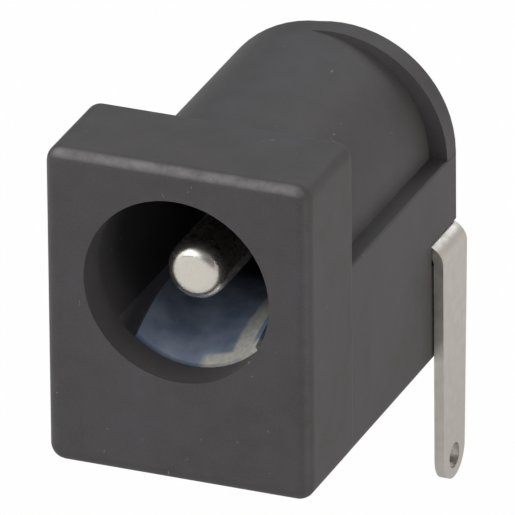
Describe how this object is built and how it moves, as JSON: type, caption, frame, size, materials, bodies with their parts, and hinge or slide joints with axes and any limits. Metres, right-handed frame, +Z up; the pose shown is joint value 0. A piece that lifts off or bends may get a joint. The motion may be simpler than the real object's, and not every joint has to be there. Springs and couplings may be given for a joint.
{
  "type": "dc barrel jack",
  "caption": "Board-mount power socket: rectangular front flange, round barrel, centre pin, sprung sleeve contact and a side switch terminal.",
  "frame": {"origin": "centre of the socket mouth, in the plane of the front face", "axes": "+Y runs into the socket along its axis, +Z points up from the board, +X is the switch terminal's side"},
  "size_m": [0.0094, 0.013, 0.0153],
  "materials": {
    "housing": "fine-grained black moulded thermoplastic",
    "centre_pin": "turned, nickel plated",
    "centre_pin_terminal": "stamped, tinned, dull",
    "sleeve_contact": "stamped spring strip, nickel plated",
    "switch_terminal": "stamped, tinned, dull"
  },
  "bodies": {
    "root": {"housing": "housing", "centre_pin": "centre_pin", "centre_pin_terminal": "centre_pin_terminal", "sleeve_contact": "sleeve_contact", "switch_terminal": "switch_terminal"}
  },
  "joints": []
}
